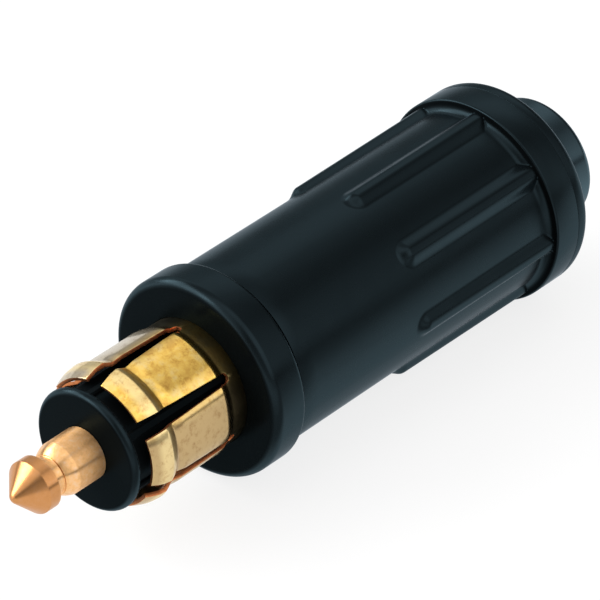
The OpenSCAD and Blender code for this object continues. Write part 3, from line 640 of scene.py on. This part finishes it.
class PLUG_OT_contact_sleeve(bpy.types.Operator):
    """Presses one finger of the contact sleeve with its share of the band and copies it round."""

    bl_idname = "plug.contact_sleeve"
    bl_label = "Contact sleeve"

    def execute(self, context):
        sleeve = context.scene.plug_sleeve
        half = sleeve.sheet / 2
        s_face = along("front_housing", 1)
        s_tip = along("contact_sleeve", 1)
        s_rear = along("contact_sleeve", 0)
        s_round = s_face + sleeve.slot_start + sleeve.slot / 2
        s_bend = s_face + sleeve.bend
        s_foot = s_tip - sleeve.joggle
        s_top = s_foot + sleeve.joggle_length
        s_brow = s_tip - sleeve.brow
        brow = sleeve.crest - math.tan(sleeve.fall) * (s_brow - s_top)
        pitch = TURN / sleeve.fingers
        # the fingers start to rise this far behind the root bend's place, over this length
        bend_lead = 0.9 * MM
        bend_length = 0.8 * MM
        # the dip fades out this far from the joggle's foot
        dip_reach = 1.2 * MM
        # power of the curves at the joggle and at the brow
        press = 1.25
        # how much of the flattening is taken back at a finger's edges
        edge_fall = 0.75

        def slot(s):
            """Width of the slot: a half circle, then straight sides that part towards the tip."""
            if s <= s_round:
                return 2 * math.sqrt(max((sleeve.slot / 2) ** 2 - (s_round - s) ** 2, 0))
            return sleeve.slot + (sleeve.slot_tip - sleeve.slot) * (s - s_round) / (s_tip - s_round)

        def radius(s, side):
            """Radius of the sheet's middle at a place across the finger, from -1 to 1."""
            grown = ease((s - s_bend + bend_lead) / bend_length)
            pressed = min(max((s - s_foot) / sleeve.joggle_length, 0), 1) ** press
            near = ease(1 - abs(s - s_foot) / dip_reach)
            r = sleeve.band - half + sleeve.rise * grown + (sleeve.crest - sleeve.rise) * pressed
            out = side ** 2 - edge_fall * side ** 4
            r += (1 - pressed) * (sleeve.flat * out * grown * (1 - near) - sleeve.dip * near)
            r -= math.tan(sleeve.fall) * max(min(s, s_brow) - s_top, 0)
            return r - (brow - sleeve.tip) * (max(s - s_brow, 0) / (s_tip - s_brow)) ** press

        def point(station, side):
            """Place of the sheet's middle on a rolled finger."""
            s, r = station
            if r is None:
                r = radius(s, side)
            angle = pitch / 2 - math.asin(slot(s) / 2 / r)
            return place(s, r, sleeve.slot_turn + pitch / 2 + side * angle)

        inside = sleeve.band - sleeve.sheet
        stations = [(s_rear + half, inside - sleeve.lip), (s_rear + half, inside)]
        stations += arc(s_rear + sleeve.sheet, inside, half, 180, 90, 5)[1:]
        starts = spread(s_rear + sleeve.sheet, s_round - sleeve.slot / 2, 10)[1:-1]
        starts += [s_round - sleeve.slot / 2 * math.cos(math.radians(9 * i)) for i in range(10)]
        starts += spread(s_round, s_foot, 50)[:-1] + spread(s_foot, s_top, 12)[:-1]
        starts += spread(s_top, s_brow, 8)[:-1] + spread(s_brow, s_tip, 14)
        stations += [(s, None) for s in starts]
        piece = all_round(sector(stations, spread(-1, 1, 28), point), sleeve.fingers)
        weld(PRESSED_SMOOTH)
        # the middle of the sheet carries the sheet's thickness, and the cut edges are coppery
        wall = piece.modifiers.new("Sheet", "SOLIDIFY")
        wall.thickness = sleeve.sheet
        wall.offset = 0
        wall.use_even_offset = True
        wall.material_offset_rim = 1
        rim = piece.modifiers.new("Cut edges", "BEVEL")
        rim.limit_method = "ANGLE"
        rim.angle_limit = math.radians(60)
        rim.width = FINE_EDGE
        rim.segments = 2
        finish = context.scene.plug_finish
        brass = stamped_brass("tarnished brass sheet", finish.brass, finish.tarnish, finish.worn,
                              finish.lower_fingers_shade, finish.far_fingers_reflection)
        darker = [c * 0.7 for c in finish.cut]
        cut = plain_metal("cut brass edge", finish.cut, darker, rough=0.45, spacing=0.4)
        piece.data.materials.clear()
        piece.data.materials.append(brass)
        piece.data.materials.append(cut)
        for modifier in ("Sheet", "Cut edges"):
            bpy.ops.object.modifier_apply(modifier=modifier)
        bpy.ops.object.shade_smooth_by_angle(angle=math.radians(PRESSED_SMOOTH))
        # finish_piece would clear which faces are cut edges, so the sleeve is finished here
        piece.name = "contact_sleeve_pressed"
        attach(piece, "root")
        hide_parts("contact_sleeve")
        return {"FINISHED"}


class PLUG_OT_housing(bpy.types.Operator):
    """Keeps the housing's neck and turns its flange with round edges."""

    bl_idname = "plug.housing"
    bl_label = "Front housing"

    def execute(self, context):
        flange = context.scene.plug_flange
        grip = context.scene.plug_grip
        outer = grip.tube + flange.step
        # the neck's thread ends in an undercut behind the flange
        undercut = 0.45 * MM
        undercut_length = MM
        neck = grip.bore - undercut
        s_seal = along("housing_seal", 1)
        s_front = along("front_housing", 1)
        s_cut = s_seal - undercut_length
        section = [(s_cut, flange.socket), (s_cut, neck), (s_seal, neck)]
        section += arc(s_seal + flange.rear, outer - flange.rear, flange.rear, 180, 90, 10)
        section += arc(s_front - flange.front, outer - flange.front, flange.front, 90, 0, 16)
        section += arc(s_front - FINE_EDGE, flange.socket + FINE_EDGE, FINE_EDGE, 0, -90, 4)
        piece = join(turned(section), rear_of("front_housing", s_cut))
        finish_piece(piece, "front_housing_moulded", "black_plastic", [black_plastic()], "front_housing")
        return {"FINISHED"}


class PLUG_OT_grip_sleeve(bpy.types.Operator):
    """Shapes one rib of the grip with the wall behind it and copies it round."""

    bl_idname = "plug.grip_sleeve"
    bl_label = "Grip sleeve"

    def execute(self, context):
        grip = context.scene.plug_grip
        outer = grip.tube + grip.step
        s_seam = along("grip_sleeve", 0)
        s_front = along("grip_sleeve", 1)
        s_collar = s_seam + grip.collar
        s_lip = along("cable_grommet", 1) - context.scene.plug_grommet.nose
        run_out = 0.3 * MM
        s_neck = along("front_housing", 0) - run_out
        # the fine columns reach a little past the rib's flanks
        margin = 1.05
        half = grip.rib_crest / 2 + grip.rib_flank
        s_nose = s_collar + grip.rib_length - half
        foot = s_collar + grip.fillet

        def rib(s, turn):
            """Height of a rib over the tube, soft at its flanks and round at its nose."""
            across = grip.tube * math.sin(abs(turn))
            away = math.hypot(max(s - s_nose, 0), across)
            rise = grip.rib_rise + math.tan(grip.rib_draft) * max(s_nose - s, 0)
            return rise * ease((half - away) / grip.rib_flank)

        def point(station, turn):
            """Place on the wall: ribs stand only on the outer line."""
            s, r, ribbed = station
            if ribbed:
                r = max(r, grip.tube + rib(s, turn))
            return place(s, r, grip.rib_turn + turn)

        outline = [(s_seam, grip.bore)]
        outline += arc(s_seam + grip.seam, outer - grip.seam, grip.seam, 180, 90, 4)
        outline += arc(s_collar - grip.edge, outer - grip.edge, grip.edge, 90, 0, 6)
        fillet = arc(foot, grip.tube + grip.fillet, grip.fillet, 180, 270, 8)
        # the rows stand close together at the ribs' noses and far apart elsewhere
        straight = spread(foot, s_nose - 0.2 * MM, 12)[1:]
        nose = spread(s_nose - 0.1 * MM, s_nose + half + 0.1 * MM, 26)
        plain = spread(s_nose + half + 0.3 * MM, s_front - grip.seam, 8)
        inner = arc(s_front - grip.seam, grip.tube - grip.seam, grip.seam, 90, 0, 3)[1:]
        inner += [(s_front, grip.bore), (s_neck, grip.bore), (s_neck - 0.2 * MM, grip.chamber),
                  (s_lip + grip.lip_t, grip.chamber), (s_lip + grip.lip_t, grip.lip), (s_lip, grip.lip),
                  (s_lip, grip.bore), (s_seam, grip.bore)]
        rows = [(s, r, False) for s, r in outline] + [(s, r, True) for s, r in fillet]
        rows += [(s, grip.tube, True) for s in straight + nose + plain] + [(s, r, False) for s, r in inner]
        side = math.asin(half / grip.tube) * margin
        limit = TURN / grip.ribs / 2
        turns = spread(-limit, -side, 4)[:-1] + spread(-side, side, 36) + spread(side, limit, 4)[1:]
        piece = all_round(sector(rows, turns, point), grip.ribs)
        weld(PRESSED_SMOOTH)
        finish_piece(piece, "grip_sleeve_moulded", "black_plastic", [black_plastic()], "grip_sleeve")
        return {"FINISHED"}


class PLUG_OT_rear(bpy.types.Operator):
    """Turns the end cap and the cable grommet."""

    bl_idname = "plug.rear"
    bl_label = "End cap and grommet"

    def execute(self, context):
        grip = context.scene.plug_grip
        grommet = context.scene.plug_grommet
        outer = grip.tube + grip.step
        thread = grip.bore - SNUG
        hole = grommet.radius + LOOSE
        edge = grip.seam
        chamfer = 0.4 * MM
        s_cap = along("end_cap", 0)
        s_seam = along("grip_sleeve", 0)
        s_spigot = along("end_cap", 1)
        section = [(s_spigot, hole), (s_cap + edge, hole), (s_cap, hole + edge)]
        section += arc(s_cap + grip.cap_round, outer - grip.cap_round, grip.cap_round, 180, 90, 14)
        section += arc(s_seam - edge, outer - edge, edge, 90, 0, 4)
        section += [(s_seam, thread), (s_spigot - chamfer, thread), (s_spigot, thread - chamfer)]
        finish_piece(turned(section), "end_cap_moulded", "black_plastic", [black_plastic()], "end_cap")

        s_nose = along("cable_grommet", 1)
        s_lip = s_nose - grommet.nose
        s_flange = s_lip - grommet.flange
        lip = grip.lip - LOOSE
        seat = grip.bore - LOOSE
        taper = 0.8 * MM
        rim = 0.3 * MM
        section = [(rim, grommet.hole), (0, grommet.hole + rim)]
        section += arc(grommet.round, grommet.radius - grommet.round, grommet.round, 180, 90, 14)
        section += [(s_flange, grommet.radius), (s_flange, seat), (s_lip, seat), (s_lip, lip),
                    (s_lip + taper, lip), (s_nose, lip - taper), (s_nose, grommet.hole)]
        finish_piece(turned(section), "cable_grommet_moulded", "black_rubber", [black_rubber()],
                     "cable_grommet")
        return {"FINISHED"}


class PLUG_OT_inner_parts(bpy.types.Operator):
    """Gives the seal and the wiring parts inside the grip their finish."""

    bl_idname = "plug.inner_parts"
    bl_label = "Inner parts"

    def execute(self, context):
        brass = plain_metal("plain brass", linear("#d8b264"), linear("#b08a44"), rough=0.3, spacing=1.2)
        steel = plain_metal("zinc plated steel", linear("#c4c8cc"), linear("#9aa0a6"), rough=0.32,
                            spacing=0.8)
        ivory = carrier_moulding("ivory polyamide")
        finishes = {
            black_rubber(): ("housing_seal",),
            brass: ("pin_link", "pin_nut", "earth_link", "pin_terminal", "earth_terminal"),
            steel: ("thrust_washer", "spring_washer", "terminal_screws", "clamp_screws"),
            ivory: ("terminal_carrier", "clamp_saddle"),
        }
        for material, nodes in finishes.items():
            for node in nodes:
                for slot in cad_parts[node].material_slots:
                    slot.material = material
        return {"FINISHED"}


def direction(azimuth, elevation):
    """Unit vector away from the plug. Azimuth 0 is towards -Y, and a quarter turn is +X."""
    return Vector((math.sin(azimuth) * math.cos(elevation), -math.cos(azimuth) * math.cos(elevation),
                   math.sin(elevation)))


def softbox(name, away, distance, width, height, power):
    """A rectangular lamp that looks at the plug."""
    light = bpy.data.lights.new(name, "AREA")
    light.shape = "RECTANGLE"
    light.size = width
    light.size_y = height
    light.energy = power
    lamp = bpy.data.objects.new(name, light)
    bpy.context.scene.collection.objects.link(lamp)
    lamp.location = TARGET + away * distance
    lamp.rotation_euler = away.to_track_quat("Z", "Y").to_euler()


def light_tent(scene, strength):
    """The world is a light tent over the plug. Its panels run along the plug and differ in brightness, from
    the front at 0 degrees over the top to the back at 180, and from its rear end to its tip end."""
    world = bpy.data.worlds.new("light tent")
    scene.world = world
    world.use_nodes = True
    tree = world.node_tree
    tree.nodes.clear()
    output = add_node(tree, "ShaderNodeOutputWorld")
    ray = add_node(tree, "ShaderNodeTexCoord").outputs["Generated"]
    parts = add_node(tree, "ShaderNodeSeparateXYZ", None, {0: ray}).outputs
    front = add_node(tree, "ShaderNodeMath", {1: -1}, {0: parts["Y"]}, operation="MULTIPLY")
    turn = add_node(tree, "ShaderNodeMath", None, {0: parts["Z"], 1: front}, operation="ARCTAN2")
    share = add_node(tree, "ShaderNodeMath", {1: math.pi}, {0: turn}, operation="DIVIDE")
    # brightness of the panels of each part of the tent by degrees from the front
    tip = [(0, 0.45), (36, 0.35), (50, 0.18), (68, 0.2), (76, 0.9), (105, 1.2), (130, 2.5), (165, 2.5),
           (180, 1.5)]
    middle = [(0, 0.4), (2, 0.1), (6, 0.12), (12, 1.3), (45, 1.6), (60, 1.4), (65, 1.0), (71, 1.0),
              (76, 1.4), (100, 1.2), (126, 0.9), (162, 0.5), (180, 0.4)]
    rear = [(0, 0.4), (2, 0.1), (6, 0.12), (11, 1.6), (20, 1.7), (40, 1.3), (50, 1.1), (60, 0.85),
            (65, 0.5), (70, 0.5), (81, 0.65), (103, 1.15), (125, 0.85), (147, 0.35), (169, 0.32),
            (180, 0.35)]
    end = [(0, 0.1), (180, 0.1)]
    panels = []
    for levels in (tip, middle, rear, end):
        stops = [(degrees / 180, [level / BRIGHTEST] * 3) for degrees, level in levels]
        panels.append(add_node(tree, "ShaderNodeValToRGB", None, {"Fac": share}, stops))
    # each part gives way to the next one between two places along the plug's direction
    walls = panels[0]
    for following, low, high in zip(panels[1:], (-0.5, 0.42, 0.7), (-0.25, 0.54, 0.85)):
        step = add_node(tree, "ShaderNodeMapRange", {"From Min": low, "From Max": high},
                        {"Value": parts["X"]}, interpolation_type="SMOOTHSTEP")
        walls = add_node(tree, "ShaderNodeMix", None, {0: step, 6: walls, 7: following},
                         data_type="RGBA").outputs[2]
    background = add_node(tree, "ShaderNodeBackground", {"Strength": strength * BRIGHTEST}, {"Color": walls})
    tree.links.new(background.outputs[0], output.inputs["Surface"])


class PLUG_OT_stage(bpy.types.Operator):
    """Sets up the floor, the softbox, the light tent and the camera."""

    bl_idname = "plug.stage"
    bl_label = "Stage"

    def execute(self, context):
        stage = context.scene.plug_stage
        scene = context.scene
        clear_selection()
        bpy.ops.mesh.primitive_circle_add(vertices=96, radius=3, fill_type="NGON", location=(0, 0, 0))
        floor = bpy.context.object
        floor.name = "floor"
        material, tree, surface, _ = new_material("pale studio paper")
        # the camera and mirror rays see mostly plain white, and a share of lit paper keeps the plug's shadow
        white = 0.8
        path = add_node(tree, "ShaderNodeLightPath")
        seen = path.outputs["Is Camera Ray"]
        for ray in ("Is Glossy Ray", "Is Transmission Ray"):
            seen = add_node(tree, "ShaderNodeMath", None, {0: seen, 1: path.outputs[ray]},
                            operation="MAXIMUM")
        share = add_node(tree, "ShaderNodeMath", {1: white}, {0: seen}, operation="MULTIPLY")
        paper = add_node(tree, "ShaderNodeBsdfDiffuse", {"Color": (*stage.floor, 1)})
        glow = add_node(tree, "ShaderNodeEmission", {"Strength": 1.0})
        mix = add_node(tree, "ShaderNodeMixShader", None, {0: share, 1: paper, 2: glow})
        tree.links.new(mix.outputs[0], surface)
        floor.data.materials.append(material)

        light_tent(scene, stage.walls)
        softbox("long softbox", away=Vector((-0.48, 0.70, 0.50)).normalized(), distance=0.8, width=0.8,
                height=0.4, power=stage.key)

        camera_data = bpy.data.cameras.new("camera")
        camera_data.lens = stage.lens
        camera_data.clip_start = 0.01
        camera = bpy.data.objects.new("camera", camera_data)
        scene.collection.objects.link(camera)
        back = direction(stage.azimuth, stage.elevation)
        camera.location = TARGET + back * stage.distance
        camera.rotation_euler = back.to_track_quat("Z", "Y").to_euler()
        scene.camera = camera
        scene.view_settings.view_transform = "Standard"
        return {"FINISHED"}


class PLUG_PT_panel(bpy.types.Panel):
    """Lists the plug's pieces and its stage."""

    bl_idname = "PLUG_PT_panel"
    bl_label = "Power plug"
    bl_space_type = "VIEW_3D"
    bl_region_type = "UI"
    bl_category = "Plug"

    def draw(self, context):
        for operator in OPERATORS:
            self.layout.operator(operator.bl_idname)


SETTINGS = {
    "plug_grip": PlugGrip,
    "plug_flange": PlugFlange,
    "plug_sleeve": PlugSleeve,
    "plug_pin": PlugPin,
    "plug_grommet": PlugGrommet,
    "plug_finish": PlugFinish,
    "plug_stage": PlugStage,
}
OPERATORS = (PLUG_OT_centre_pin, PLUG_OT_insulator, PLUG_OT_contact_sleeve, PLUG_OT_housing,
             PLUG_OT_grip_sleeve, PLUG_OT_rear, PLUG_OT_inner_parts, PLUG_OT_stage)


def register():
    """Adds the plug's settings, operators and panel to Blender."""
    for kind in (*SETTINGS.values(), *OPERATORS, PLUG_PT_panel):
        bpy.utils.register_class(kind)
    for name, group in SETTINGS.items():
        setattr(bpy.types.Scene, name, PointerProperty(type=group))


def unregister():
    """Takes them out again."""
    for name in SETTINGS:
        delattr(bpy.types.Scene, name)
    for kind in reversed((*SETTINGS.values(), *OPERATORS, PLUG_PT_panel)):
        bpy.utils.unregister_class(kind)


def main():
    """Builds the plug and its stage in order."""
    register()
    bpy.ops.plug.centre_pin()
    bpy.ops.plug.insulator()
    bpy.ops.plug.contact_sleeve()
    bpy.ops.plug.housing()
    bpy.ops.plug.grip_sleeve()
    bpy.ops.plug.rear()
    bpy.ops.plug.inner_parts()
    bpy.ops.plug.stage()


if __name__ == "__main__":
    main()
